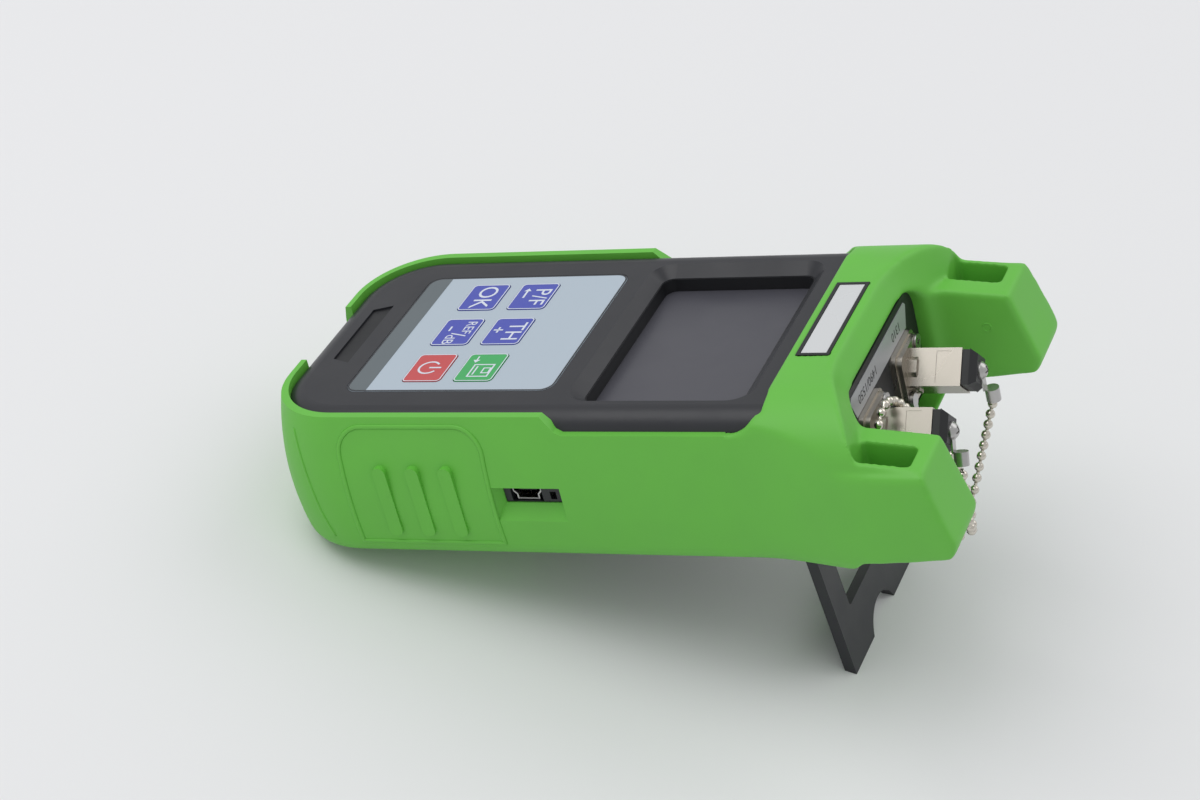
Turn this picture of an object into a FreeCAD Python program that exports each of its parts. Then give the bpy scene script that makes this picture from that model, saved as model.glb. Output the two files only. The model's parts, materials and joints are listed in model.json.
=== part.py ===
import FreeCAD, Part
import math
import os

# Handheld optical power meter in a rubber boot, standing on its fold-out stand.
# Modelled flat in its own axes (mm): x to the right of the keypad, y towards the optical ports,
# z out of the keypad face, with the keypad face at z = 0. place() then tips every shape to its
# resting attitude on the floor.

V = FreeCAD.Vector
os.makedirs("parts", exist_ok=True)

# Attitude and stand
TILT = 19.0                 # slope of the keypad face when the stand is open
OPEN_LEAN = 6.0             # the open leg leans this far past square to the back
STAND_X = 24.0              # half width of the stand
STAND_T = 2.8
HINGE_Y, HINGE_Z = 107.0, -34.6
PIN_R = 1.0
LEG_OFFSET = 2.5            # leg mid-plane to hinge axis

# Case (the two shells)
FACE_X = 39.0               # half width where the face round ends
SIDE_X = 41.0               # half width at the parting plane
CASE_Y0, CASE_Y1 = -20.0, 127.0
PART_Z = -18.0
BACK_Z = -36.4
WALL = 2.2

# Boot
BOOT_X = 43.8
HORN_X = 49.0
BOOT_Y0 = -22.0
TIP_Y = 158.2
BAND_Z = 2.4
RIM_Z = 0.4
BOOT_BACK = -38.6
HORN_IN_X = 30.1

# Display window, keypad
WIN_X, WIN_Y0, WIN_Y1 = 29.2, 64.9, 105.9
WIN_CHAMFER, WIN_CHAMFER_Z = 3.0, 2.6
GLASS_Z = -6.2
PAD_X, PAD_Y1 = 27.5, 56.8
FILM_T = 0.3
KEY_W, KEY_H = 12.5, 10.5
KEYS = (
    ("key_ok", -17.0, 19.6), ("key_minus", 0.0, 19.6), ("key_power", 17.0, 19.6),
    ("key_left", -17.0, 33.7), ("key_plus", 0.0, 33.7), ("key_save", 17.0, 33.7),
)
KEY_GAP = 0.2
BOARD_TOP, BOARD_T = -12.0, 1.6

# Optical ports
PORT_X, PORT_Z = 13.2, -20.5
BLOCK_Y, EAR_Y, SLEEVE_Y = 134.2, 132.0, 145.0
SLEEVE_W, SLEEVE_H = 9.4, 8.0
EAR_HOLE = 5.1              # screw offset from the port axis along x and z
PLUG_END = 148.6

# Socket for charging
USB_Y, USB_Z = 50.6, -20.5


def box(x0, x1, y0, y1, z0, z1):
    return Part.makeBox(x1 - x0, y1 - y0, z1 - z0, V(x0, y0, z0))


def rod(x, y, z, radius, length, axis):
    return Part.makeCylinder(radius, length, V(x, y, z), V(*axis))


def wire(points, closed=True):
    pts = [V(*p) for p in points]
    if closed:
        pts.append(pts[0])
    return Part.makePolygon(pts)


def prism(points, direction):
    return Part.Face(wire(points)).extrude(V(*direction))


def rounded(x0, x1, y0, y1, z0, z1, radius):
    # A box with its four upright edges rounded.
    body = box(x0, x1, y0, y1, z0, z1)
    upright = [e for e in body.Edges if abs(e.tangentAt(e.FirstParameter).z) > 0.99]
    return body.makeFillet(radius, upright)


def pick(shape, test):
    # The edges whose whole bounding box passes a test.
    return [e for e in shape.Edges if test(e.BoundBox)]


def mirror_x(shape):
    return shape.mirror(V(0, 0, 0), V(1, 0, 0))


def group(shapes):
    return Part.makeCompound(shapes)


def case_outline(half, y0, y1, z, corner):
    # Closed outline: straight top end, rounded lower corners.
    c = corner * (1 - math.sqrt(0.5))
    a, b = V(half, y1, z), V(half, y0 + corner, z)
    m = V(half - c, y0 + c, z)
    d = V(half - corner, y0, z)
    right = [Part.makeLine(a, b), Part.Arc(b, m, d).toShape()]
    left = [Part.Arc(V(-d.x, d.y, z), V(-m.x, m.y, z), V(-b.x, b.y, z)).toShape(),
            Part.makeLine(V(-b.x, b.y, z), V(-a.x, a.y, z))]
    across = Part.makeLine(d, V(-d.x, d.y, z))
    end = Part.makeLine(V(-a.x, a.y, z), a)
    return Part.Wire([right[0], right[1], across, left[0], left[1], end])


def case_block(inset, z_face, z_back, y1):
    # The case outside, or its hollow when inset by the wall.
    face = case_outline(FACE_X - inset, CASE_Y0 + 1.2 + inset, y1, z_face, 20 - inset)
    mid = case_outline(SIDE_X - inset, CASE_Y0 + inset, y1, PART_Z, 20 - inset)
    back = case_outline(SIDE_X - 0.6 - inset, CASE_Y0 + 1.0 + inset, y1, z_back, 20 - inset)
    upper = Part.makeLoft([mid, face], True, True)
    lower = Part.makeLoft([back, mid], True, True)
    return upper, lower


def place(shape):
    done = shape.copy()
    done.rotate(V(0, 0, 0), V(1, 0, 0), TILT)
    done.translate(V(0, SHIFT_Y, SHIFT_Z))
    return done


# ---------------------------------------------------------------- case shells

upper, lower = case_block(0.0, 0.0, BACK_Z, CASE_Y1)
face_edges = pick(upper, lambda b: b.ZMin > -0.01 and b.YMin < CASE_Y1 - 1)
upper = upper.makeFillet(6.0, face_edges)
back_edges = pick(lower, lambda b: b.ZMax < BACK_Z + 0.01 and b.YMin < CASE_Y1 - 1)
lower = lower.makeFillet(4.0, back_edges)
case_solid = upper.fuse(lower).removeSplitter()

hollow_up, hollow_down = case_block(WALL, -WALL, BACK_Z + WALL, CASE_Y1 - WALL)
hollow = hollow_up.fuse(hollow_down)

front_shell = upper.cut(hollow)

# Display window: chamfered mouth, upright wall, and a ledge behind for the lens.
frame_in = rounded(-WIN_X, WIN_X, WIN_Y0, WIN_Y1, -12.0, 1.0, 3.0)
mouth_out = rounded(-WIN_X - WIN_CHAMFER, WIN_X + WIN_CHAMFER,
                    WIN_Y0 - WIN_CHAMFER, WIN_Y1 + WIN_CHAMFER, 0.0, 1.0, 6.0)
mouth_in = rounded(-WIN_X, WIN_X, WIN_Y0, WIN_Y1, -WIN_CHAMFER_Z, 1.0, 3.0)


def top_wire(body, z):
    faces = [f for f in body.Faces if f.BoundBox.ZMax < z + 0.01 and f.BoundBox.ZMin > z - 0.01]
    return faces[0].OuterWire


mouth = Part.makeLoft([top_wire(mouth_in, -WIN_CHAMFER_Z), top_wire(mouth_out, 0.0)], True, True)
window_tube = rounded(-WIN_X - 1.8, WIN_X + 1.8, WIN_Y0 - 1.8, WIN_Y1 + 1.8,
                      GLASS_Z, -1.0, 4.5).fuse(
    rounded(-WIN_X - 4.2, WIN_X + 4.2, WIN_Y0 - 4.2, WIN_Y1 + 2.6, -4.2, -1.0, 6.0))
front_shell = front_shell.fuse(window_tube).cut(mouth).cut(frame_in)

# Shallow recess for the keypad film and holes for the keys.
pad_recess = rounded(-PAD_X - 0.15, PAD_X + 0.15, -0.15, PAD_Y1 + 0.15, -FILM_T, 1.0, 3.6)
front_shell = front_shell.cut(pad_recess)
for name, kx, ky in KEYS:
    hole = rounded(kx - KEY_W / 2 - KEY_GAP, kx + KEY_W / 2 + KEY_GAP,
                   ky - KEY_H / 2 - KEY_GAP, ky + KEY_H / 2 + KEY_GAP, -3.0, 1.0, 1.4)
    front_shell = front_shell.cut(hole)

# Recess for the model plate near the lower end, left bare.
plate_pts = [(-14.0, -5.3, -1.2), (14.0, -5.3, -1.2), (12.0, -10.4, -1.2), (-12.0, -10.4, -1.2)]
front_shell = front_shell.cut(prism(plate_pts, (0, 0, 3)))
inset_pts = [(-13.9, -5.4, -1.2), (13.9, -5.4, -1.2), (11.95, -10.3, -1.2), (-11.95, -10.3, -1.2)]
model_plate = prism(inset_pts, (0, 0, 0.7))

# Screw bosses reach down from the front shell to the parting plane and into the rear one.
BOSSES = ((-33.0, -4.0), (33.0, -4.0), (-34.5, 119.5), (34.5, 119.5))
for bx, by in BOSSES:
    front_shell = front_shell.fuse(rod(bx, by, PART_Z, 3.0, 15.9, (0, 0, 1)))
    front_shell = front_shell.cut(rod(bx, by, PART_Z - 1, 1.25, 12.0, (0, 0, 1)))

# Window for the charging socket and its lamp goes through the rear shell's side.
rear_shell = lower.cut(hollow)
socket_cut = box(36.0, 44.0, USB_Y - 4.1, USB_Y + 4.1, USB_Z - 2.15, USB_Z + 2.15)
lamp_cut = box(36.0, 44.0, 56.8, 58.4, USB_Z - 1.6, USB_Z + 0.6)
rear_shell = rear_shell.cut(socket_cut).cut(lamp_cut)

# Pocket in the back for the folded stand, with a deeper one for its hinge.
LEG_END = 58.0
pocket_wall = box(-27.0, 27.0, LEG_END - 3.0, 115.0, -35.5, -32.4).fuse(
    box(-27.0, 27.0, 103.0, 115.0, -33.0, -29.4))
pocket = box(-STAND_X - 0.4, STAND_X + 0.4, LEG_END - 0.8, 112.6, -40.0, -34.2).fuse(
    box(-STAND_X - 0.4, STAND_X + 0.4, 104.0, 112.6, -35.0, -31.4))
rear_shell = rear_shell.fuse(pocket_wall).cut(pocket)
rear_shell = rear_shell.cut(rod(-26.2, HINGE_Y, HINGE_Z, PIN_R + 0.02, 52.4, (1, 0, 0)))
for bx, by in BOSSES:
    rear_shell = rear_shell.fuse(rod(bx, by, BACK_Z + 0.5, 3.0, PART_Z - BACK_Z - 0.5, (0, 0, 1)))
    rear_shell = rear_shell.cut(rod(bx, by, BACK_Z - 1, 1.7, 30.0, (0, 0, 1)))
    rear_shell = rear_shell.cut(rod(bx, by, BACK_Z - 1, 2.9, 6.0, (0, 0, 1)))

screws = []
for bx, by in BOSSES:
    head = rod(bx, by, BACK_Z + 2.9, 2.6, 2.1, (0, 0, 1))
    shank = rod(bx, by, BACK_Z + 5.0, 1.45, 13.4 + 4.0, (0, 0, 1)).common(
        rod(bx, by, BACK_Z + 5.0, 1.25, 60.0, (0, 0, 1)))
    drive = box(bx - 1.5, bx + 1.5, by - 0.3, by + 0.3, BACK_Z + 2.0, BACK_Z + 4.0).fuse(
        box(bx - 0.3, bx + 0.3, by - 1.5, by + 1.5, BACK_Z + 2.0, BACK_Z + 4.0))
    screws.append(head.fuse(shank).cut(drive))
case_screws = group(screws)

# ---------------------------------------------------------------- rubber boot


def boot_outline(half, y0, z, corner, flare):
    # Plan of the boot: rounded lower corners, sides that sweep out to the horns.
    c = corner * (1 - math.sqrt(0.5))
    curve = Part.BezierCurve()
    curve.setPoles([V(half, 104, z), V(half, 120, z), V(half + flare, 128, z), V(half + flare, 146, z)])
    side = curve.toShape()
    left_side = side.mirror(V(0, 0, 0), V(1, 0, 0))
    b, m, d = V(half, y0 + corner, z), V(half - c, y0 + c, z), V(half - corner, y0, z)
    tip = V(half + flare, TIP_Y + 2, z)
    edges = [
        Part.makeLine(V(half + flare, 146, z), tip),
        Part.makeLine(tip, V(-tip.x, tip.y, z)),
        Part.makeLine(V(-tip.x, tip.y, z), V(-half - flare, 146, z)),
        left_side,
        Part.makeLine(V(-half, 104, z), V(-b.x, b.y, z)),
        Part.Arc(V(-b.x, b.y, z), V(-m.x, m.y, z), V(-d.x, d.y, z)).toShape(),
        Part.makeLine(V(-d.x, d.y, z), d),
        Part.Arc(d, m, b).toShape(),
        Part.makeLine(b, V(half, 104, z)),
        side,
    ]
    return Part.Wire(Part.sortEdges(edges)[0])


def boot_block():
    levels = (
        boot_outline(BOOT_X - 1.2, BOOT_Y0 + 1.6, BOOT_BACK, 21.0, HORN_X - BOOT_X),
        boot_outline(BOOT_X, BOOT_Y0, -20.0, 22.0, HORN_X - BOOT_X),
        boot_outline(BOOT_X - 4.6, BOOT_Y0 + 3.4, BAND_Z, 20.0, HORN_X - BOOT_X),
    )
    block = Part.makeLoft(list(levels), True, False)
    lower_edges = pick(block, lambda b: b.ZMax < BOOT_BACK + 0.01 and b.YMin < TIP_Y)
    block = block.makeFillet(5.5, lower_edges)
    return block.makeFillet(3.0, pick(block, lambda b: b.ZMin > BAND_Z - 0.01 and b.YMin < TIP_Y))


boot = boot_block()

# Opening over the face: rim beside the keypad, lower rim beside the window, up again to the band.
rim = [(59.0, RIM_Z), (60.6, -1.4), (62.2, -3.2), (64.0, -4.0), (106.4, -4.0), (108.8, -3.4),
       (110.9, -1.9), (112.6, 0.4), (113.6, BAND_Z)]
mouth = [(-60, -40, RIM_Z)] + [(-60, y, z) for y, z in rim] + [(-60, 113.6, 8), (-60, -40, 8)]
boot = boot.cut(prism(mouth, (120, 0, 0)))

# Front of the horns: a concave slope falls from the band to the horn faces. Each end of the slope
# runs straight across the middle and swings towards the ports at both sides. Given as y at the
# middle, y at the sides, x where the swing starts and x where it ends.
SLOPE_HIGH = (125.2, 132.6, 17.0, 43.0)
SLOPE_LOW = (131.6, 137.2, 20.0, 46.0)


def ring(spec, z):
    y_mid, y_out, x_turn, x_end = spec
    points = []
    for k in range(-14, 15):
        x = 5.0 * k
        t = min(max((abs(x) - x_turn) / (x_end - x_turn), 0.0), 1.0)
        points.append(V(x, y_mid + (y_out - y_mid) * t * t * (3 - 2 * t), z))
    curve = Part.BSplineCurve()
    curve.interpolate(points)
    first, last = points[0], points[-1]
    far_right, far_left = V(last.x, 175, z), V(first.x, 175, z)
    return Part.Wire([curve.toShape(), Part.makeLine(last, far_right), Part.makeLine(far_right, far_left),
                      Part.makeLine(far_left, first)])


slope_cut = Part.makeLoft([ring(SLOPE_LOW, -8.2), ring(SLOPE_HIGH, 4.0)], True, True)
horn_face = prism([(-70, 136.5, -8.2), (-70, 155.0, -10.3), (-70, 175.0, -10.3), (-70, 175.0, -8.2)],
                  (140, 0, 0))
boot = boot.cut(slope_cut).cut(horn_face)

# Broad rounded shoulders: across the band the top turns down to the sides in a quarter ellipse.
SHOULDER_X, SHOULDER_Y = 28.3, 110.0
SHOULDER_WIDE, SHOULDER_DEEP = 18.0, 13.0


def shoulder_cut():
    low_z = BAND_Z - SHOULDER_DEEP
    points = []
    for k in range(13):
        t = math.radians(90.0 - 7.5 * k)
        points.append(V(SHOULDER_X + SHOULDER_WIDE * math.cos(t), SHOULDER_Y,
                        low_z + SHOULDER_DEEP * math.sin(t)))
    curve = Part.BSplineCurve()
    curve.interpolate(points)
    corners = [points[-1], V(65.0, SHOULDER_Y, low_z), V(65.0, SHOULDER_Y, 10.0),
               V(SHOULDER_X, SHOULDER_Y, 10.0), points[0]]
    lines = [Part.makeLine(p, q) for p, q in zip(corners, corners[1:])]
    return Part.Face(Part.Wire([curve.toShape()] + lines)).extrude(V(0, 60.0, 0))


shoulder = shoulder_cut()
boot = boot.cut(shoulder).cut(mirror_x(shoulder))

# Space between the horns, slanted horn ends and their stepped back.
gap = rounded(-HORN_IN_X, HORN_IN_X, 131.0, 175.0, -60.0, 20.0, 6.0)
ledge = box(-HORN_IN_X, HORN_IN_X, 126.0, 134.6, -34.6, -31.6)
boot = boot.cut(gap.cut(ledge))
end_cut = prism([(-70, 152.4, -9.0), (-70, 158.2, -28.6), (-70, 156.4, -32.2), (-70, 134.6, -34.6),
                 (-70, 131.6, -38.0), (-70, 131.0, -60.0), (-70, 190, -60.0), (-70, 190, 20), (-70, 150.0, 20),
                 (-70, 150.0, -9.0)],
                (140, 0, 0))
boot = boot.cut(end_cut)

# Hollow for the case, the port recess, the open middle of the lower end, the back opening.
boot = boot.cut(case_solid)
port_recess = rounded(-28.2, 28.2, -33.0, -4.6, 0.0, 8.0, 6.5).fuse(
    rounded(-28.2, 28.2, -33.0, -16.0, 0.0, 8.0, 4.0))
port_recess.rotate(V(0, 0, 0), V(1, 0, 0), 90)
port_recess.translate(V(0, CASE_Y1 + 8.0, 0))
boot = boot.cut(port_recess)
boot = boot.cut(box(-13.0, 13.0, -40.0, -12.0, -13.0, 10.0))
back_open = rounded(-31.0, 31.0, 40.0, 117.0, -50.0, BACK_Z + 0.01, 5.0)
boot = boot.cut(back_open)

# The rim stands just outside the rounded edge of the face.
mouth_line = case_outline(37.8, CASE_Y0 + 2.4, 113.6, -6.0, 19.0)
boot = boot.cut(Part.Face(mouth_line).extrude(V(0, 0, 20)))

# Strap slots through the horns.
SLOT_X0, SLOT_X1, SLOT_Y0, SLOT_Y1 = 36.3, 44.5, 135.9, 149.2
for side in (1, -1):
    slot = rounded(min(side * SLOT_X0, side * SLOT_X1), max(side * SLOT_X0, side * SLOT_X1),
                   SLOT_Y0, SLOT_Y1, -60.0, 10.0, 1.2)
    boot = boot.cut(slot)

# Charging window: straight sided hole with sloping lead-in.
boot = boot.cut(box(38.0, 50.0, 44.8, 59.8, -22.9, -17.4))
lead_low = wire([(41.2, 44.8, -17.4), (41.2, 59.8, -17.4), (41.2, 59.8, -22.9), (41.2, 44.8, -22.9)])
lead_high = wire([(44.6, 42.2, -17.2), (44.6, 61.6, -17.2), (44.6, 61.6, -27.4), (44.6, 42.2, -27.4)])
boot = boot.cut(Part.makeLoft([lead_low, lead_high], True, True))

# Raised grip ribs inside a shallow outlined panel on both sides.
for side in (1, -1):
    for rib_y in (14.0, 23.0, 32.0):
        rib = rounded(-9.8, 9.8, -1.75, 1.75, 0.0, 2.6, 1.7)
        rib.rotate(V(0, 0, 0), V(0, 1, 0), 90)
        rib.translate(V(41.8, rib_y, -21.3))
        rib = rib if side > 0 else mirror_x(rib)
        boot = boot.fuse(rib)

# ---------------------------------------------------------------- lower end panel and its labels

end_panel = port_recess.common(box(-40.0, 40.0, CASE_Y1, CASE_Y1 + 2.2, -40.0, 0.0)).cut(boot)
for side in (1, -1):
    end_panel = end_panel.cut(rod(side * PORT_X, CASE_Y1 - 1, PORT_Z, 4.6, 6.0, (0, 1, 0)))
    for sx, sz in ((-1, 1), (1, -1)):
        end_panel = end_panel.cut(rod(side * PORT_X + sx * EAR_HOLE, CASE_Y1 - 1, PORT_Z + sz * EAR_HOLE,
                                      0.95, 6.0, (0, 1, 0)))

label_y = CASE_Y1 + 2.2
label_pts = [(-21.6, label_y, -6.4), (21.6, label_y, -6.4), (22.6, label_y, -7.4), (20.2, label_y, -12.6),
             (-20.2, label_y, -12.6), (-22.6, label_y, -7.4)]
port_label = prism(label_pts, (0, 0.15, 0))

# Bare name plate on the band: a dark frame set in the rubber with a white plate inside it.
boot = boot.cut(box(-16.6, 16.6, 115.9, 124.2, BAND_Z - 0.9, BAND_Z + 1))
plate_frame = box(-16.6, 16.6, 115.9, 124.2, BAND_Z - 0.9, BAND_Z + 0.1).cut(
    box(-15.7, 15.7, 116.8, 123.3, BAND_Z - 0.3, BAND_Z + 1))
name_plate = box(-15.6, 15.6, 116.9, 123.2, BAND_Z - 0.3, BAND_Z - 0.05)

# ---------------------------------------------------------------- keypad

keypad_film = rounded(-PAD_X, PAD_X, 0.0, PAD_Y1, -FILM_T, 0.0, 3.5)
key_solids = {}
for name, kx, ky in KEYS:
    film_hole = rounded(kx - KEY_W / 2 - KEY_GAP, kx + KEY_W / 2 + KEY_GAP,
                        ky - KEY_H / 2 - KEY_GAP, ky + KEY_H / 2 + KEY_GAP, -1.0, 1.0, 1.4)
    keypad_film = keypad_film.cut(film_hole)
    key = rounded(kx - KEY_W / 2, kx + KEY_W / 2, ky - KEY_H / 2, ky + KEY_H / 2, -1.5, 0.15, 1.2)
    stem = rod(kx, ky, -7.3, 1.8, 6.0, (0, 0, 1))
    key_solids[name] = key.fuse(stem)

# ---------------------------------------------------------------- display

display_lens = rounded(-WIN_X - 1.7, WIN_X + 1.7, WIN_Y0 - 1.7, WIN_Y1 + 1.7, GLASS_Z - 1.2, GLASS_Z, 4.4)
lens_seal = rounded(-WIN_X - 1.7, WIN_X + 1.7, WIN_Y0 - 1.7, WIN_Y1 + 1.7,
                    GLASS_Z - 1.7, GLASS_Z - 1.2, 4.4).cut(
    rounded(-WIN_X + 0.6, WIN_X - 0.6, WIN_Y0 + 0.6, WIN_Y1 - 0.6, -9.0, -5.0, 3.0))
lcd_glass = box(-28.5, 28.5, 65.5, 105.3, GLASS_Z - 3.9, GLASS_Z - 1.7)
lcd_backlight = box(-29.0, 29.0, 65.0, 105.8, GLASS_Z - 5.8, GLASS_Z - 3.9)

# ---------------------------------------------------------------- boards

main_board = box(-36.0, 36.0, 2.0, 122.0, BOARD_TOP - BOARD_T, BOARD_TOP)
for bx, by in BOSSES:
    main_board = main_board.cut(rod(bx, by, -20.0, 4.0, 12.0, (0, 0, 1)))
for sx, sy in ((-33.0, 58.0), (33.0, 58.0)):
    main_board = main_board.cut(rod(sx, sy, -20.0, 1.3, 12.0, (0, 0, 1)))

# Two posts carry the board and take its screws.
posts, board_screws = [], []
for sx, sy in ((-33.0, 58.0), (33.0, 58.0)):
    post = rod(sx, sy, BOARD_TOP, 2.4, -BOARD_TOP - 1.8, (0, 0, 1)).cut(
        rod(sx, sy, BOARD_TOP - 1, 1.0, 7.0, (0, 0, 1)))
    front_shell = front_shell.fuse(post)
    board_screws.append(rod(sx, sy, BOARD_TOP - BOARD_T - 1.4, 2.0, 1.4, (0, 0, 1)).fuse(
        rod(sx, sy, BOARD_TOP - BOARD_T, 1.0, 6.5, (0, 0, 1))))

switches = []
for name, kx, ky in KEYS:
    body = box(kx - 3, kx + 3, ky - 3, ky + 3, BOARD_TOP, BOARD_TOP + 3.4)
    switches.append(body.fuse(rod(kx, ky, BOARD_TOP + 3.4, 1.7, 0.8, (0, 0, 1))))

chips = group([
    box(-9.0, 5.0, 70.0, 84.0, BOARD_TOP - BOARD_T - 1.6, BOARD_TOP - BOARD_T),
    box(12.0, 20.0, 92.0, 97.0, BOARD_TOP - BOARD_T - 1.8, BOARD_TOP - BOARD_T),
    box(-24.0, -16.0, 92.0, 97.0, BOARD_TOP - BOARD_T - 1.8, BOARD_TOP - BOARD_T),
])
buzzer = rod(-24.0, 74.0, BOARD_TOP - BOARD_T - 5.0, 6.0, 5.0, (0, 0, 1))

battery_pack = rounded(-27.0, 21.0, 2.0, 52.0, -33.6, -22.0, 2.0)
charge_board = box(24.0, 38.0, 44.0, 62.0, USB_Z - 2.0 - 1.2, USB_Z - 2.0)
lamp = box(36.4, 38.0, 56.9, 58.3, USB_Z - 2.0, USB_Z + 0.2)

usb_y0, usb_y1 = USB_Y - 3.85, USB_Y + 3.85
usb_points = [(30.5, usb_y0, USB_Z + 1.95), (30.5, usb_y1, USB_Z + 1.95), (30.5, usb_y1, USB_Z + 0.3),
              (30.5, usb_y1 - 0.9, USB_Z - 0.6), (30.5, usb_y1 - 0.9, USB_Z - 1.95),
              (30.5, usb_y0 + 0.9, USB_Z - 1.95), (30.5, usb_y0 + 0.9, USB_Z - 0.6),
              (30.5, usb_y0, USB_Z + 0.3)]
usb_block = prism(usb_points, (9.8, 0, 0))
usb_inner = Part.Face(Part.Face(wire(usb_points)).OuterWire.makeOffset2D(-0.35))
usb_shell = usb_block.cut(usb_inner.extrude(V(9.8, 0, 0)).translated(V(0.5, 0, 0)))
usb_tongue = box(31.2, 39.4, USB_Y - 2.2, USB_Y + 2.2, USB_Z + 0.1, USB_Z + 1.1)
contacts = []
for k in range(5):
    cy = USB_Y + (k - 2) * 0.8
    contacts.append(box(31.4, 39.0, cy - 0.17, cy + 0.17, USB_Z - 0.05, USB_Z + 0.1))
usb_contacts = group(contacts)

# ---------------------------------------------------------------- optical ports


def turned(shape, px, y0):
    # From a shape built along +y at the origin to a port: turned 45 degrees about its axis.
    done = shape.copy()
    done.rotate(V(0, 0, 0), V(0, 1, 0), 45)
    done.translate(V(px, y0, PORT_Z))
    return done


def port_body(px):
    y0 = label_y
    plate = rounded(-7.8, 7.8, -7.8, 7.8, 0.0, 1.4, 2.0)
    ears = rounded(-7.3, 7.3, -7.3, 7.3, 0.0, EAR_Y - y0, 2.4)
    block = box(-4.6, 4.6, -4.6, 4.6, 0.0, BLOCK_Y - y0)
    block = block.makeChamfer(2.2, pick(block, lambda b: b.XMin > 4.5 and b.YMin > 4.5))
    base = plate.fuse(ears).fuse(block)
    for sx, sy in ((-1, 1), (1, -1)):
        base = base.cut(rod(sx * EAR_HOLE, sy * EAR_HOLE, -1, 1.1, 6.0, (0, 0, 1)))
        base = base.cut(rod(sx * EAR_HOLE, sy * EAR_HOLE, EAR_Y - y0 - 0.6, 2.2, 6.0, (0, 0, 1)))
    # The pattern is drawn in x and y with its height along z; stand it up along the port axis.
    base.rotate(V(0, 0, 0), V(1, 0, 0), 90)
    base = base.mirror(V(0, 0, 0), V(0, 1, 0))
    base.translate(V(px, y0, PORT_Z))
    neck = rod(px, y0 - 4.0, PORT_Z, 4.5, 4.1, (0, 1, 0))
    sleeve = box(-SLEEVE_W / 2, SLEEVE_W / 2, 0.0, SLEEVE_Y - y0, -SLEEVE_H / 2, SLEEVE_H / 2)
    mark = box(-3.9, 3.9, 138.7 - y0, 142.4 - y0, SLEEVE_H / 2 - 0.15, SLEEVE_H / 2 + 1)
    sleeve = sleeve.cut(mark)
    body = base.fuse(neck).fuse(turned(sleeve, px, y0))
    bore = box(-4.15, 4.15, 2.0, 30.0, -3.4, 3.4)
    body = body.cut(turned(bore, px, y0)).cut(rod(px, y0 - 5.0, PORT_Z, 1.65, 12.0, (0, 1, 0)))
    return body


port_left, port_right = port_body(-PORT_X), port_body(PORT_X)
for px in (-PORT_X, PORT_X):
    through = rod(px, CASE_Y1 - 6.0, PORT_Z, 5.2, 6.1, (0, 1, 0))
    front_shell, rear_shell = front_shell.cut(through), rear_shell.cut(through)
end_panel = end_panel.cut(port_left).cut(port_right)

detectors, aligners, port_screws = [], [], []
for px in (-PORT_X, PORT_X):
    detectors.append(rod(px, label_y - 14.0, PORT_Z, 5.0, 10.0, (0, 1, 0)))
    aligners.append(rod(px, label_y - 3.9, PORT_Z, 1.65, 9.5, (0, 1, 0)).cut(
        rod(px, label_y - 3.9, PORT_Z, 1.25, 9.6, (0, 1, 0))))
    for sx, sz in ((-1, 1), (1, -1)):
        ex, ez = px + sx * EAR_HOLE, PORT_Z + sz * EAR_HOLE
        head = rod(ex, EAR_Y - 0.6, ez, 1.95, 1.1, (0, 1, 0))
        head = head.cut(box(ex - 1.1, ex + 1.1, EAR_Y + 0.1, EAR_Y + 2, ez - 0.25, ez + 0.25))
        head = head.cut(box(ex - 0.25, ex + 0.25, EAR_Y + 0.1, EAR_Y + 2, ez - 1.1, ez + 1.1))
        port_screws.append(head.fuse(rod(ex, label_y - 2.1, ez, 0.95, 3.0, (0, 1, 0))))

# Dust plugs: a shank in the sleeve, a waist, a block with tapered end, screw and chain lug.


def plug_body(px):
    shank = box(-4.1, 4.1, SLEEVE_Y - label_y - 8.0, SLEEVE_Y - label_y + 0.3, -3.35, 3.35)
    waist = box(-4.3, 4.3, SLEEVE_Y - label_y + 0.1, SLEEVE_Y - label_y + 1.9, -3.7, 3.7)
    y1, y2 = SLEEVE_Y - label_y + 1.9, PLUG_END - label_y
    big = wire([(-4.5, y1, -3.9), (4.5, y1, -3.9), (4.5, y1, 3.9), (-4.5, y1, 3.9)])
    small = wire([(-3.4, y2, -3.0), (3.4, y2, -3.0), (3.4, y2, 3.0), (-3.4, y2, 3.0)])
    block = Part.makeLoft([big, small], True, True)
    ferrule_hole = rod(0, SLEEVE_Y - label_y - 9, 0, 1.9, 6.5, (0, 1, 0))
    return turned(shank.fuse(waist).fuse(block).cut(ferrule_hole), px, label_y)


def plug_screw(px):
    head = Part.makeSphere(2.3, V(px, PLUG_END + 0.4 - 0.9, PORT_Z), V(0, 1, 0)).common(
        rod(px, PLUG_END + 0.4, PORT_Z, 3.0, 3.0, (0, 1, 0)))
    slot = box(px - 1.2, px + 1.2, PLUG_END + 1.3, PLUG_END + 3, PORT_Z - 0.22, PORT_Z + 0.22).fuse(
        box(px - 0.22, px + 0.22, PLUG_END + 1.3, PLUG_END + 3, PORT_Z - 1.2, PORT_Z + 1.2))
    shank = rod(px, PLUG_END - 3.0, PORT_Z, 0.9, 3.5, (0, 1, 0))
    return head.cut(slot).fuse(shank)


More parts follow.
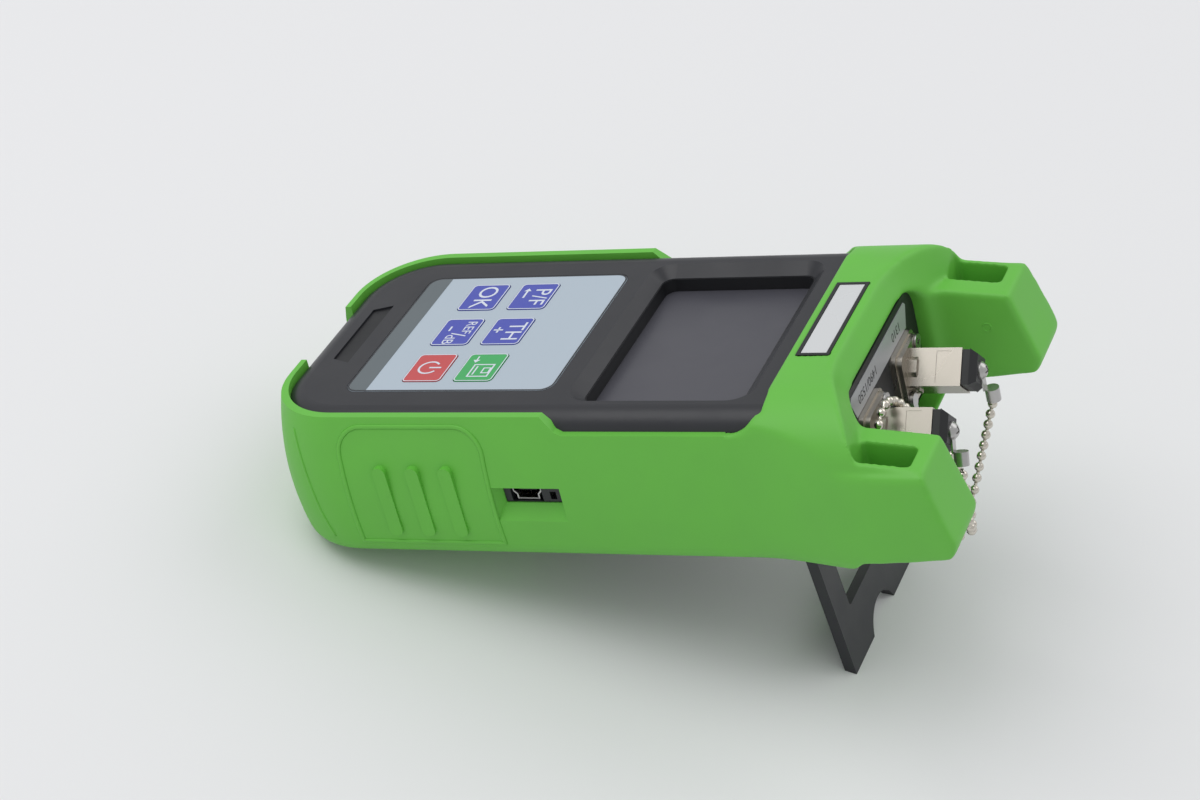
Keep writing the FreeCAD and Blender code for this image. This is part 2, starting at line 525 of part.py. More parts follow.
def plug_lug(px, swing):
    # Thin tab under the screw head, ending in a clip that holds the chain's last bead.
    eye = rod(px, PLUG_END, PORT_Z, 2.2, 0.4, (0, 1, 0))
    tab = box(px - 1.2, px + 1.2, PLUG_END, PLUG_END + 0.4, PORT_Z - 5.2, PORT_Z)
    clip = rod(px, PLUG_END + 1.9, PORT_Z - 8.2, 1.8, 3.4, (0, 0, 1)).cut(
        rod(px, PLUG_END + 1.9, PORT_Z - 9.0, 1.4, 3.7, (0, 0, 1)))
    lug = eye.fuse(tab).fuse(clip).cut(rod(px, PLUG_END - 1, PORT_Z, 0.92, 3.0, (0, 1, 0)))
    lug.rotate(V(px, 0, PORT_Z), V(0, 1, 0), swing)
    return lug


def drilled_plug(px):
    return plug_body(px).cut(rod(px, PLUG_END - 3.1, PORT_Z, 0.92, 6.0, (0, 1, 0)))


# Chain eyes held under the lower ear screw of each port.


def port_eye(px):
    ex, ez = px + EAR_HOLE, PORT_Z - EAR_HOLE
    washer = rod(ex, EAR_Y + 0.5, ez, 1.9, 0.4, (0, 1, 0))
    tab = box(ex - 0.9, ex + 0.9, EAR_Y + 0.5, EAR_Y + 0.9, ez - 3.4, ez)
    return washer.fuse(tab)


# ---------------------------------------------------------------- stand

COS, SIN = math.cos(math.radians(TILT)), math.sin(math.radians(TILT))


def lowest(shape):
    turned_shape = shape.copy()
    turned_shape.rotate(V(0, 0, 0), V(1, 0, 0), TILT)
    return turned_shape.optimalBoundingBox(False).ZMin


FLOOR = lowest(boot.common(box(-60, 60, -40, 20, -60, 10)))
lean = math.radians(OPEN_LEAN)
reach = (HINGE_Y * SIN + HINGE_Z * COS - FLOOR) / (math.cos(lean) * COS - math.sin(lean) * SIN)
LEG = reach + 4.0


def stand_leg():
    # Built folded: the leg lies towards -y from its hinge at the origin, then it is opened.
    leg = box(-STAND_X, STAND_X, -LEG, 1.0, -LEG_OFFSET - STAND_T / 2, -LEG_OFFSET + STAND_T / 2)
    window = rounded(-15.5, 15.5, -reach + 12.6, -8.5, -10, 10, 1.0)
    leg = leg.cut(window)
    knuckle = rod(-STAND_X, 0, 0, 2.1, 2 * STAND_X, (1, 0, 0)).fuse(
        box(-STAND_X, STAND_X, -2.1, 2.1, -LEG_OFFSET, 0))
    middle = box(-13.0, 13.0, -6.0, 6.0, -1.09, 10).fuse(box(-13, 13, 1.0, 6.0, -10, 10))
    leg = leg.fuse(knuckle).cut(middle)
    leg = leg.cut(rod(-30, 0, 0, PIN_R + 0.05, 60, (1, 0, 0)))
    leg.rotate(V(0, 0, 0), V(1, 0, 0), 90 + OPEN_LEAN)
    leg.translate(V(0, HINGE_Y, HINGE_Z))
    # The foot is cut level with the floor and has a finger notch.
    under = box(-60, 60, -200, 300, FLOOR - 100, FLOOR)
    under.rotate(V(0, 0, 0), V(1, 0, 0), -TILT)
    notch = rod(0, 90, HINGE_Z - reach - 4.4, 9.2, 60, (0, 1, 0))
    return leg.cut(under).cut(notch)


stand = stand_leg()
stand_pin = rod(-25.8, HINGE_Y, HINGE_Z, PIN_R, 51.6, (1, 0, 0))

# ---------------------------------------------------------------- bead chains

CHAIN_D = 2.4
CORD_RUN = 0.45


def cord(points):
    # Round cord along a route: straight runs joined by tangent arcs.
    pts = [V(*p) for p in points]
    edges, start = [], pts[0]
    for i in range(1, len(pts) - 1):
        before, after = pts[i] - pts[i - 1], pts[i + 1] - pts[i]
        turn = before.getAngle(after)
        run = min(before.Length, after.Length)
        radius = CORD_RUN * run / math.tan(turn / 2)
        cut = radius * math.tan(turn / 2)
        p_in = pts[i] - before.normalize() * cut
        p_out = pts[i] + after.normalize() * cut
        toward = (p_in + p_out) * 0.5 - pts[i]
        middle_at = pts[i] + toward.normalize() * (radius / math.cos(turn / 2) - radius)
        edges.append(Part.makeLine(start, p_in))
        edges.append(Part.Arc(p_in, middle_at, p_out).toShape())
        start = p_out
        print("cord bend radius", round(radius, 2), "turn", round(math.degrees(turn), 1))
    edges.append(Part.makeLine(start, pts[-1]))
    path = Part.Wire(edges)
    circle = Part.Wire(Part.makeCircle(CHAIN_D / 2, pts[0], pts[1] - pts[0]))
    return path.makePipeShell([circle], True, False)


CHAINS = {
    "chain_left": [(-13.2, 150.45, -28.4), (-13.3, 147.3, -37.2), (-13.0, 144.2, -46.0),
                   (-11.6, 141.6, -54.2), (-6.2, 139.6, -61.0), (2.6, 138.8, -61.6),
                   (8.0, 138.6, -54.6), (7.0, 139.0, -46.0), (2.6, 139.5, -38.4),
                   (-3.6, 138.2, -32.2), (-8.4, 134.8, -28.6)],
    "chain_right": [(15.9, 150.3, -29.2), (17.8, 150.5, -37.6), (16.2, 149.5, -45.4), (10.7, 147.7, -51.0),
                    (3.6, 145.6, -50.8), (-1.1, 143.8, -44.8), (-0.4, 142.5, -37.0), (0.8, 139.2, -29.2),
                    (3.8, 135.5, -21.0), (9.6, 134.8, -14.0), (17.2, 134.8, -10.8), (24.0, 134.8, -14.6),
                    (25.8, 134.7, -22.4), (21.0, 134.3, -29.2)],
}

# ---------------------------------------------------------------- placing and writing

SHIFT_Z = -FLOOR
NODES = {
    "boot": boot, "front_shell": front_shell, "rear_shell": rear_shell, "case_screws": case_screws,
    "end_panel": end_panel, "port_label": port_label, "plate_frame": plate_frame, "name_plate": name_plate,
    "model_plate": model_plate, "keypad_film": keypad_film, "display_lens": display_lens,
    "lens_seal": lens_seal, "lcd_glass": lcd_glass, "lcd_backlight": lcd_backlight,
    "main_board": main_board, "board_screws": group(board_screws), "key_switches": group(switches),
    "board_chips": chips, "buzzer": buzzer, "battery_pack": battery_pack, "charge_board": charge_board,
    "charge_lamp": lamp, "usb_shell": usb_shell, "usb_tongue": usb_tongue, "usb_contacts": usb_contacts,
    "port_left": port_left, "port_right": port_right, "detectors": group(detectors),
    "ferrule_sleeves": group(aligners), "port_screws": group(port_screws),
    "port_eyes": group([port_eye(-PORT_X), port_eye(PORT_X)]), "stand": stand, "stand_pin": stand_pin,
}
NODES.update(key_solids)
for tag, px in (("left", -PORT_X), ("right", PORT_X)):
    NODES["plug_" + tag] = drilled_plug(px)
    NODES["plug_screw_" + tag] = plug_screw(px)
    NODES["plug_lug_" + tag] = plug_lug(px, 0.0 if px < 0 else -20.0)
for name, points in CHAINS.items():
    NODES[name] = cord(points)

SHIFT_Y = 0.0
low_y, high_y = 1e9, -1e9
for name, shape in NODES.items():
    if name in CHAINS:
        continue
    bounds = place(shape).optimalBoundingBox(False)
    low_y, high_y = min(low_y, bounds.YMin), max(high_y, bounds.YMax)
SHIFT_Y = -(low_y + high_y) / 2
print("shift", SHIFT_Y, SHIFT_Z, "reach", reach)

for name, shape in NODES.items():
    place(shape).exportStep("parts/" + name + ".step")
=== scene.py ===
import json
import math

import bmesh
import bpy
import numpy as np
from mathutils import Matrix, Vector
from mathutils.bvhtree import BVHTree


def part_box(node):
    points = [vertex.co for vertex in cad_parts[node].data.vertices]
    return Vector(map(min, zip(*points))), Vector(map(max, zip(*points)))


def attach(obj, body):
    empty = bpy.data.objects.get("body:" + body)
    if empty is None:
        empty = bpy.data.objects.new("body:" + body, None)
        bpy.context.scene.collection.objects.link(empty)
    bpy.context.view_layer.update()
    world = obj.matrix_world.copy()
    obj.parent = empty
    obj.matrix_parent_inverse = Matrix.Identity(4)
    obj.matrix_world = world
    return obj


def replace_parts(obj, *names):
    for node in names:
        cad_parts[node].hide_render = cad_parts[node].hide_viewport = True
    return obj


# Handheld optical power meter in a green rubber boot, standing on its open stand.
# New pieces are drawn flat in the meter's own axes (mm): x to the right of the keypad,
# y towards the optical ports, z out of the keypad face. MODEL carries them to the row frame.

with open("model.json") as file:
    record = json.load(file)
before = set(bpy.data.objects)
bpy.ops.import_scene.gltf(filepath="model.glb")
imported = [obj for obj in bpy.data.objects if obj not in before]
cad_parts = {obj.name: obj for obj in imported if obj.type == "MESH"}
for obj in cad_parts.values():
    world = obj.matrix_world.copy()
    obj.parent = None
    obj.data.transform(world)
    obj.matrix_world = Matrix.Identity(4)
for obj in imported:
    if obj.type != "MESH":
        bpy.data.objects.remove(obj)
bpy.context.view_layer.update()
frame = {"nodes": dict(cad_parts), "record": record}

MM = 0.001
TILT = math.radians(19.0)
FILM_T = 0.3                       # thickness of the keypad film, its face is z = 0

film_low, film_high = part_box("keypad_film")
ORIGIN = Vector((0.0, film_low[1], film_low[2] + FILM_T * MM * math.cos(TILT)))
MODEL = Matrix.Translation(ORIGIN) @ Matrix.Rotation(TILT, 4, "X") @ Matrix.Scale(MM, 4)
TO_MODEL = MODEL.inverted()


def at(x, y, z):
    return MODEL @ Vector((x, y, z))


def extent(node):
    # Lowest and highest corner of a CAD node in the meter's own axes (mm).
    spots = [TO_MODEL @ v.co for v in frame["nodes"][node].data.vertices]
    return [Vector([pick(spot[i] for spot in spots) for i in range(3)]) for pick in (min, max)]


def show(name, data):
    made = bpy.data.objects.new(name, data)
    bpy.context.scene.collection.objects.link(made)
    return made


def evaluated_mesh(thing):
    # The mesh that an object's curve, lettering or modifiers give.
    bpy.context.view_layer.update()
    return bpy.data.meshes.new_from_object(thing.evaluated_get(bpy.context.evaluated_depsgraph_get()))


# ---------------------------------------------------------------- camera and light


def make_camera():
    right = Vector((-0.358, 0.9305, 0.0766)).normalized()
    forward = Vector((-0.7643, -0.2449, -0.5965)).normalized()
    up = right.cross(forward)
    turn = Matrix((right, up, -forward)).transposed().to_4x4()
    data = bpy.data.cameras.new("camera")
    data.lens = 84.0
    data.sensor_width = 36.0
    data.clip_start = 0.01
    camera = show("camera", data)
    camera.matrix_world = Matrix.Translation((0.5320, 0.1576, 0.4556)) @ turn
    bpy.context.scene.camera = camera


def soft_lamp(name, place, aim, size, power):
    data = bpy.data.lights.new(name, "AREA")
    data.shape = "DISK"
    data.size = size
    data.energy = power
    lamp = show(name, data)
    lamp.location = place
    lamp.rotation_euler = (Vector(aim) - Vector(place)).to_track_quat("-Z", "Y").to_euler()


# ---------------------------------------------------------------- materials


def linear(text):
    # A hex colour as linear red, green, blue and alpha.
    channels = []
    for i in (1, 3, 5):
        c = int(text[i:i + 2], 16) / 255
        channels.append(c / 12.92 if c <= 0.04045 else ((c + 0.055) / 1.055) ** 2.4)
    return (*channels, 1.0)


def add_node(tree, kind, settings=None, inputs=None, links=None):
    # One shader node with its settings, its input values and the sockets that feed it.
    made = tree.nodes.new(kind)
    for key, value in (settings or {}).items():
        setattr(made, key, value)
    for key, value in (inputs or {}).items():
        made.inputs[key].default_value = value
    for key, socket in (links or {}).items():
        tree.links.new(socket, made.inputs[key])
    return made


WEAR_MM = 14.0                     # size of the patches over which tone and sheen drift
GRAIN_DEEP = 0.05                  # height of the moulded grain (mm)
ROUGH_DRIFT = 0.06


def surface(name, colour, rough=0.5, metallic=0.0, ior=None, coat=0.0, grain_mm=0.3, bump=0.1,
            vary=0.0, brushed=False):
    # Shader with a fine moulded or ground texture: grain_mm is the spacing of its marks, bump their
    # strength, vary how much roughness and tone drift over the surface.
    material = bpy.data.materials.new(name)
    material.use_nodes = True
    tree = material.node_tree
    shader = tree.nodes["Principled BSDF"]
    shader.inputs["Base Color"].default_value = linear(colour)
    shader.inputs["Roughness"].default_value = rough
    shader.inputs["Metallic"].default_value = metallic
    shader.inputs["Coat Weight"].default_value = coat
    if ior is not None:
        shader.inputs["IOR"].default_value = ior
    place = add_node(tree, "ShaderNodeTexCoord").outputs["Object"]
    if brushed:
        place = add_node(tree, "ShaderNodeMapping", inputs={"Scale": (1.0, 1.0, 0.06)},
                         links={"Vector": place}).outputs["Vector"]
    grain = add_node(tree, "ShaderNodeTexNoise",
                     inputs={"Scale": 1.0 / (grain_mm * MM), "Detail": 3.0, "Roughness": 0.6},
                     links={"Vector": place}).outputs["Fac"]
    wear = add_node(tree, "ShaderNodeTexNoise", inputs={"Scale": 1.0 / (WEAR_MM * MM), "Detail": 4.0},
                    links={"Vector": place}).outputs["Fac"]
    raised = add_node(tree, "ShaderNodeBump", inputs={"Strength": bump, "Distance": GRAIN_DEEP * MM},
                      links={"Height": grain})
    tree.links.new(raised.outputs["Normal"], shader.inputs["Normal"])
    spread = add_node(tree, "ShaderNodeMapRange",
                      inputs={"From Min": 0.3, "From Max": 0.7,
                              "To Min": max(rough - ROUGH_DRIFT, 0.02), "To Max": rough + ROUGH_DRIFT},
                      links={"Value": wear})
    tree.links.new(spread.outputs["Result"], shader.inputs["Roughness"])
    if vary:
        base = linear(colour)
        ramp = add_node(tree, "ShaderNodeMapRange",
                        inputs={"From Min": 0.3, "From Max": 0.7, "To Min": 0.0, "To Max": 1.0},
                        links={"Value": wear})
        tone = add_node(tree, "ShaderNodeMix", {"data_type": "RGBA"})
        tone.inputs[6].default_value = (*[c * (1 - vary) for c in base[:3]], 1.0)
        tone.inputs[7].default_value = (*[min(c * (1 + vary), 1.0) for c in base[:3]], 1.0)
        tree.links.new(ramp.outputs["Result"], tone.inputs[0])
        tree.links.new(tone.outputs[2], shader.inputs["Base Color"])
    return material


def make_materials():
    return {
        # Thermoplastic elastomer, moulded in a finely eroded tool: even soft sheen, no sharp glints.
        "boot_rubber": surface("tpe_green", "#63B83F", rough=0.5, ior=1.5, grain_mm=0.35, bump=0.12,
                               vary=0.03),
        # ABS, charcoal, satin moulded: a fine pebble that breaks highlights up softly.
        "case_plastic": surface("abs_charcoal", "#232429", rough=0.4, ior=1.5, grain_mm=0.3, bump=0.14,
                                vary=0.05),
        # ABS, black, matt: end panel, stand and inner parts.
        "panel_black": surface("abs_black", "#17181B", rough=0.5, grain_mm=0.3, bump=0.1),
        "plug_black": surface("abs_plug_black", "#16171A", rough=0.45, grain_mm=0.25, bump=0.1),
        "stand_plastic": surface("abs_stand", "#25262A", rough=0.45, grain_mm=0.3, bump=0.15, vary=0.05),
        # Aluminium foil label with a satin lacquer: pale grey that catches the light along its length.
        "label_silver": surface("foil_label", "#B4B6BA", rough=0.38, metallic=0.4, grain_mm=0.15,
                                bump=0.03),
        # Lacquered aluminium plate: near white, smooth, with a clear gloss.
        "plate_white": surface("lacquered_plate", "#CFD1D2", rough=0.25, coat=0.3, grain_mm=0.6, bump=0.02),
        # Polyester overlay film, reverse printed with a velvet face: flat even tones, no glints.
        "keypad_film": surface("overlay_film", "#AEBBC6", rough=0.4, grain_mm=0.12, bump=0.04),
        "key_blue": surface("overlay_blue", "#454FAE", rough=0.38, grain_mm=0.12, bump=0.04),
        "key_red": surface("overlay_red", "#C24A4C", rough=0.38, grain_mm=0.12, bump=0.04),
        "key_green": surface("overlay_green", "#3CA85C", rough=0.38, grain_mm=0.12, bump=0.04),
        # Screen inks: flat, thin and matt, in white, near black and grey.
        "ink_white": surface("screen_ink_white", "#D5DBE6", rough=0.45, grain_mm=0.2, bump=0.02),
        "ink_dark": surface("screen_ink_dark", "#2A2C30", rough=0.45, grain_mm=0.2, bump=0.02),
        "ink_grey": surface("screen_ink_grey", "#5F686C", rough=0.42, grain_mm=0.12, bump=0.03),
        # Smoked acrylic lens with an anti-glare face: dark, with one soft broad reflection.
        "display_lens": surface("smoked_acrylic", "#4B4B52", rough=0.34, ior=1.49, grain_mm=2.0, bump=0.0),
        # The inner pieces, seen only with the case open: matt foam, clear glass, a white diffuser,
        # green solder mask, blue shrink wrap, and clear epoxy and gold at the charging socket.
        "seal_foam": surface("seal_foam", "#202020", rough=0.9, grain_mm=0.4, bump=0.3),
        "lcd_glass": surface("lcd_glass", "#7E8682", rough=0.15, grain_mm=2.0, bump=0.0),
        "white_plastic": surface("diffuser_white", "#E6E6E2", rough=0.5, grain_mm=0.5, bump=0.02),
        "circuit_board": surface("solder_mask", "#1F5A36", rough=0.35, grain_mm=0.6, bump=0.06, vary=0.1),
        "battery_wrap": surface("shrink_wrap", "#2D4E8C", rough=0.3, grain_mm=1.5, bump=0.05),
        "lamp_clear": surface("lamp_epoxy", "#E8E8E0", rough=0.2, grain_mm=0.5, bump=0.01),
        "contact_gold": surface("gold_flash", "#D6B060", rough=0.25, metallic=1.0, grain_mm=0.2, bump=0.02),
        # Nickel plate on die-cast zinc and turned brass: warm grey, softly brushed.
        "port_nickel": surface("nickel_plate", "#B0AAA0", rough=0.3, metallic=1.0, grain_mm=0.25, bump=0.08,
                               vary=0.05, brushed=True),
        # Zinc plated screws and clips, cool and slightly cloudy; beads tumbled bright.
        "zinc_steel": surface("zinc_plated_steel", "#B9B8B6", rough=0.3, metallic=1.0, grain_mm=0.2,
                              bump=0.06),
        "chain_nickel": surface("nickel_bead", "#D2CCC0", rough=0.16, metallic=1.0, grain_mm=0.6,
                                bump=0.02),
        # Polished zirconia: bright white with a clear gloss.
        "sleeve_ceramic": surface("zirconia", "#F0EEE8", rough=0.12, ior=2.1, grain_mm=0.5, bump=0.01),
    }


def paint_cad(materials):
    for part in frame["record"]["subparts"]:
        mesh = frame["nodes"][part["node"]].data
        mesh.materials.clear()
        mesh.materials.append(materials[part["material_slot"]])


# ---------------------------------------------------------------- building helpers

PRINT_LIFT = 0.012                 # ink stands this far off its surface (mm)
INK = 0.03                         # thickness of the ink layer that is drawn


def add_piece(name, mesh, body, material):
    # A mesh already in the row frame becomes a piece that rides on a body.
    mesh.materials.clear()
    mesh.materials.append(material)
    piece = show(name, mesh)
    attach(piece, body)
    return piece


def add_drawn(name, mesh, body, material):
    # The same for a mesh drawn in the meter's own axes.
    mesh.transform(MODEL)
    add_piece(name, mesh, body, material)


def mesh_from(name, verts, faces, smooth=False):
    mesh = bpy.data.meshes.new(name)
    mesh.from_pydata(verts, [], faces)
    if smooth:
        mesh.shade_smooth()
    return mesh


def tube_faces(rings, sides, closed):
    # Faces of a tube whose corners come ring by ring; an open tube is capped at both ends.
    faces = []
    for i in range(rings if closed else rings - 1):
        a, b = i * sides, (i + 1) % rings * sides
        faces += [(a + j, a + (j + 1) % sides, b + (j + 1) % sides, b + j) for j in range(sides)]
    if not closed:
        faces.append(tuple(range(sides - 1, -1, -1)))
        faces.append(tuple(range((rings - 1) * sides, rings * sides)))
    return faces


def arc_points(cx, cy, radius, start, stop, steps):
    points = []
    for k in range(steps + 1):
        a = math.radians(start + (stop - start) * k / steps)
        points.append((cx + radius * math.cos(a), cy + radius * math.sin(a)))
    return points


def rounded_outline(x0, x1, y0, y1, radius, steps=8):
    points = arc_points(x1 - radius, y1 - radius, radius, 0, 90, steps)
    points += arc_points(x0 + radius, y1 - radius, radius, 90, 180, steps)
    points += arc_points(x0 + radius, y0 + radius, radius, 180, 270, steps)
    points += arc_points(x1 - radius, y0 + radius, radius, 270, 360, steps)
    return points


def strip_mesh(outer, inner, base, top):
    # A closed flat band between two outlines with the same number of points.
    n = len(outer)
    verts = [(x, y, z) for z in (base, top) for ring in (outer, inner) for x, y in ring]
    faces = []
    for k in range(n):
        j = (k + 1) % n
        faces += [(k, n + k, n + j, j), (2 * n + k, 2 * n + j, 3 * n + j, 3 * n + k),
                  (k, j, 2 * n + j, 2 * n + k), (n + k, 3 * n + k, 3 * n + j, n + j)]
    return mesh_from("band", verts, faces)


def plate_mesh(outline, base, top):
    # A closed flat plate with the given outline.
    n = len(outline)
    verts = [(x, y, z) for z in (base, top) for x, y in outline]
    faces = [tuple(range(n - 1, -1, -1)), tuple(range(n, 2 * n))]
    faces += [(k, (k + 1) % n, n + (k + 1) % n, n + k) for k in range(n)]
    return mesh_from("plate", verts, faces)


def join_meshes(meshes):
    verts, faces = [], []
    for mesh in meshes:
        base = len(verts)
        verts += [tuple(v.co) for v in mesh.vertices]
        faces += [tuple(base + i for i in p.vertices) for p in mesh.polygons]
    return mesh_from("joined", verts, faces)


def text_mesh(words, height, basis):
    # Lettering as a thin solid: basis places a drawing in x and y onto its surface.
    data = bpy.data.curves.new("words", "FONT")
    data.body = words
    data.size = height
    data.align_x = "CENTER"
    data.align_y = "CENTER"
    data.extrude = INK / 2
    data.resolution_u = 4
    holder = show("words", data)
    mesh = evaluated_mesh(holder)
    bpy.data.objects.remove(holder)
    mesh.transform(basis)
    return mesh


# ---------------------------------------------------------------- keypad print

KEY_INK_Z = extent("key_ok")[1].z + PRINT_LIFT


def ink_shape(outline):
    return plate_mesh(outline, KEY_INK_Z, KEY_INK_Z + INK)


def ink_bar(x0, x1, y0, y1):
    return ink_shape([(x0, y0), (x1, y0), (x1, y1), (x0, y1)])


def ink_band(outer, inner):
    return strip_mesh(outer, inner, KEY_INK_Z, KEY_INK_Z + INK)


def ink_text(words, height, x, y):
    return text_mesh(words, height, Matrix.Translation((x, y, KEY_INK_Z + INK / 2)))


def arrow_left(x, y, length, head):
    tip, neck, tail = x - length / 2, x - length / 2 + head, x + length / 2
    half, barb = 0.28, head * 0.8
    return ink_shape([(tip, y), (neck, y - barb), (neck, y - half), (tail, y - half), (tail, y + half),
                      (neck, y + half), (neck, y + barb)])


def legend_left(x, y):
    return [ink_text("P/F", 6.6, x + 0.3, y + 1.6), arrow_left(x - 1.6, y - 2.7, 4.6, 1.3)]


def legend_ok(x, y):
    return [ink_text("OK", 7.4, x, y)]


def legend_plus(x, y):
    return [ink_text("TH", 6.6, x + 0.2, y + 1.6), ink_bar(x - 1.9, x + 0.7, y - 3.1, y - 2.6),
            ink_bar(x - 0.85, x - 0.35, y - 4.15, y - 1.55)]


def legend_minus(x, y):
    return [ink_text("REF", 3.9, x - 2.0, y + 2.3), ink_text("/", 6.4, x + 1.4, y + 0.6),
            ink_text("dB", 4.2, x + 3.6, y - 1.0), ink_bar(x - 2.6, x - 0.4, y - 2.9, y - 2.4)]


def legend_power(x, y):
    arc_out = arc_points(x, y - 0.3, 2.9, 125, 415, 28)
    arc_in = arc_points(x, y - 0.3, 2.35, 125, 415, 28)
    return [ink_shape(arc_out + arc_in[::-1]), ink_bar(x - 0.28, x + 0.28, y - 0.2, y + 3.1)]


def square_ring(x0, x1, y0, y1, line):
    left, right, low, high = x0 + line, x1 - line, y0 + line, y1 - line
    return ink_band([(x0, y0), (x1, y0), (x1, y1), (x0, y1)],
                    [(left, low), (right, low), (right, high), (left, high)])


def legend_save(x, y):
    case = square_ring(x - 1.4, x + 4.4, y - 2.3, y + 3.5, 0.42)
    slide = square_ring(x + 0.2, x + 2.8, y + 0.9, y + 3.1, 0.36)
    tag = ink_bar(x - 0.4, x + 3.4, y - 1.2, y - 0.8)
    shaft = ink_bar(x - 5.0, x - 3.3, y - 2.75, y - 2.35)
    head = ink_shape([(x - 3.4, y - 3.5), (x - 2.1, y - 2.55), (x - 3.4, y - 1.6)])
    return [case, slide, tag, shaft, head]


def key_print(materials):
    drawings = {"key_ok": legend_ok, "key_minus": legend_minus, "key_power": legend_power,
                "key_left": legend_left, "key_plus": legend_plus, "key_save": legend_save}
    margin, line = 0.05, 0.26
    for key, legend in drawings.items():
        low, high = extent(key)
        x0, x1, y0, y1 = low.x + margin, high.x - margin, low.y + margin, high.y - margin
        outer = rounded_outline(x0, x1, y0, y1, 1.15)
        inner = rounded_outline(x0 + line, x1 - line, y0 + line, y1 - line, 0.92)
        meshes = [ink_band(outer, inner)] + legend((x0 + x1) / 2, (y0 + y1) / 2)
        add_drawn(key + "_print", join_meshes(meshes), key, materials["ink_white"])


def film_print(materials):
    # A dark line around the film and a grey strip along its lower end, left bare.
    low, high = extent("keypad_film")
    corner, margin, line, strip_y = 3.5, 0.05, 0.5, 6.2
    z = high.z + PRINT_LIFT
    outer = rounded_outline(low.x + margin, high.x - margin, low.y + margin, high.y - margin, 3.4)
    inner = rounded_outline(low.x + line, high.x - line, low.y + line, high.y - line, 3.0)
    border = strip_mesh(outer, inner, z, z + INK)
    add_drawn("film_border", border, "meter", materials["ink_dark"])
    radius = corner - line - margin
    strip = (arc_points(low.x + corner, low.y + corner, radius, 180, 270, 8)
             + arc_points(high.x - corner, low.y + corner, radius, 270, 360, 8)
             + [(high.x - line - margin, strip_y), (low.x + line + margin, strip_y)])
    add_drawn("film_strip", plate_mesh(strip, z, z + INK), "meter", materials["ink_grey"])


# ---------------------------------------------------------------- port label


def label_print(materials):
    # Wavelengths over the two ports, upright when seen from the ports' end.
    low, high = extent("port_label")
    face_y, middle_z = high.y + PRINT_LIFT, (low.z + high.z) / 2
    meshes = []
    for words, x in (("1310", -13.2), ("1490/1550", 10.2)):
        basis = Matrix(((1, 0, 0, x), (0, 0, 1, face_y), (0, -1, 0, middle_z), (0, 0, 0, 1)))
        meshes.append(text_mesh(words, 3.4, basis))
    add_drawn("label_numbers", join_meshes(meshes), "meter", materials["ink_dark"])


# ---------------------------------------------------------------- bead chains

CHAIN_ROUTES = {
    "chain_left": [(-13.2, 150.45, -28.4), (-13.3, 147.3, -37.2), (-13.0, 144.2, -46.0),
                   (-11.6, 141.6, -54.2), (-6.2, 139.6, -61.0), (2.6, 138.8, -61.6),
                   (8.0, 138.6, -54.6), (7.0, 139.0, -46.0), (2.6, 139.5, -38.4),
                   (-3.6, 138.2, -32.2), (-8.4, 134.8, -28.6)],
    "chain_right": [(15.9, 150.3, -29.2), (17.8, 150.5, -37.6), (16.2, 149.5, -45.4), (10.7, 147.7, -51.0),
                    (3.6, 145.6, -50.8), (-1.1, 143.8, -44.8), (-0.4, 142.5, -37.0), (0.8, 139.2, -29.2),
                    (3.8, 135.5, -21.0), (9.6, 134.8, -14.0), (17.2, 134.8, -10.8), (24.0, 134.8, -14.6),
                    (25.8, 134.7, -22.4), (21.0, 134.3, -29.2)],
}
BEAD_D, BEAD_PITCH, LINK_R = 2.4, 3.2, 0.42
BEAD_RINGS, BEAD_SIDES = 8, 14     # faces along and around each bead


def chain_path(points):
    # Smooth line through the route: the points of a NURBS that has no thickness.
    data = bpy.data.curves.new("route", "CURVE")
    data.dimensions = "3D"
    data.resolution_u = 16
    spline = data.splines.new("NURBS")
    spline.points.add(len(points) - 1)
    for spot, p in zip(spline.points, points):
        spot.co = (*at(*p), 1.0)
    spline.order_u = 3
    spline.use_endpoint_u = True
    holder = show("route", data)
    path = [v.co.copy() for v in evaluated_mesh(holder).vertices]
    bpy.data.objects.remove(holder)
    return path


def walk(path, distance):
    # Point and direction at a distance along the path.
    for a, b in zip(path, path[1:]):
        step = (b - a).length
        if distance <= step and step > 1e-9:
            return a.lerp(b, distance / step), (b - a).normalized()
        distance -= step
    return path[-1].copy(), (path[-1] - path[-2]).normalized()


def path_length(path):
    return sum((b - a).length for a, b in zip(path, path[1:]))


def bead_chain(name, points, material):
    # One closed tube that swells into a ball at each bead and thins to a link between them.
    path = chain_path(points)
    length = path_length(path)
    count = round(length / (BEAD_PITCH * MM))
    pitch = length / count
    ball = BEAD_D / 2 * MM
    link = LINK_R * MM
    edge = math.acos(link / ball)
    stations = [(0.0, link)]
    for k in range(count):
        middle = (k + 0.5) * pitch
        for i in range(BEAD_RINGS + 1):
            a = -edge + 2 * edge * i / BEAD_RINGS
            stations.append((middle + ball * math.sin(a), ball * math.cos(a)))
    stations.append((length, link))
    verts = []
    side_way = None
    for distance, radius in stations:
        centre, along = walk(path, distance)
        if side_way is None:
            side_way = along.orthogonal().normalized()
        side_way = (side_way - along * side_way.dot(along)).normalized()
        other = along.cross(side_way)
        for j in range(BEAD_SIDES):
            a = 2 * math.pi * j / BEAD_SIDES
            verts.append(tuple(centre + (side_way * math.cos(a) + other * math.sin(a)) * radius))
    mesh = mesh_from(name + "_beads", verts, tube_faces(len(stations), BEAD_SIDES, False), smooth=True)
    chain = add_piece(name + "_beads", mesh, "meter", material)
    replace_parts(chain, name)


# ---------------------------------------------------------------- rubber boot
# One moulding, shown as two pieces: a sleeve with crisp edges and an eased end with the horns.

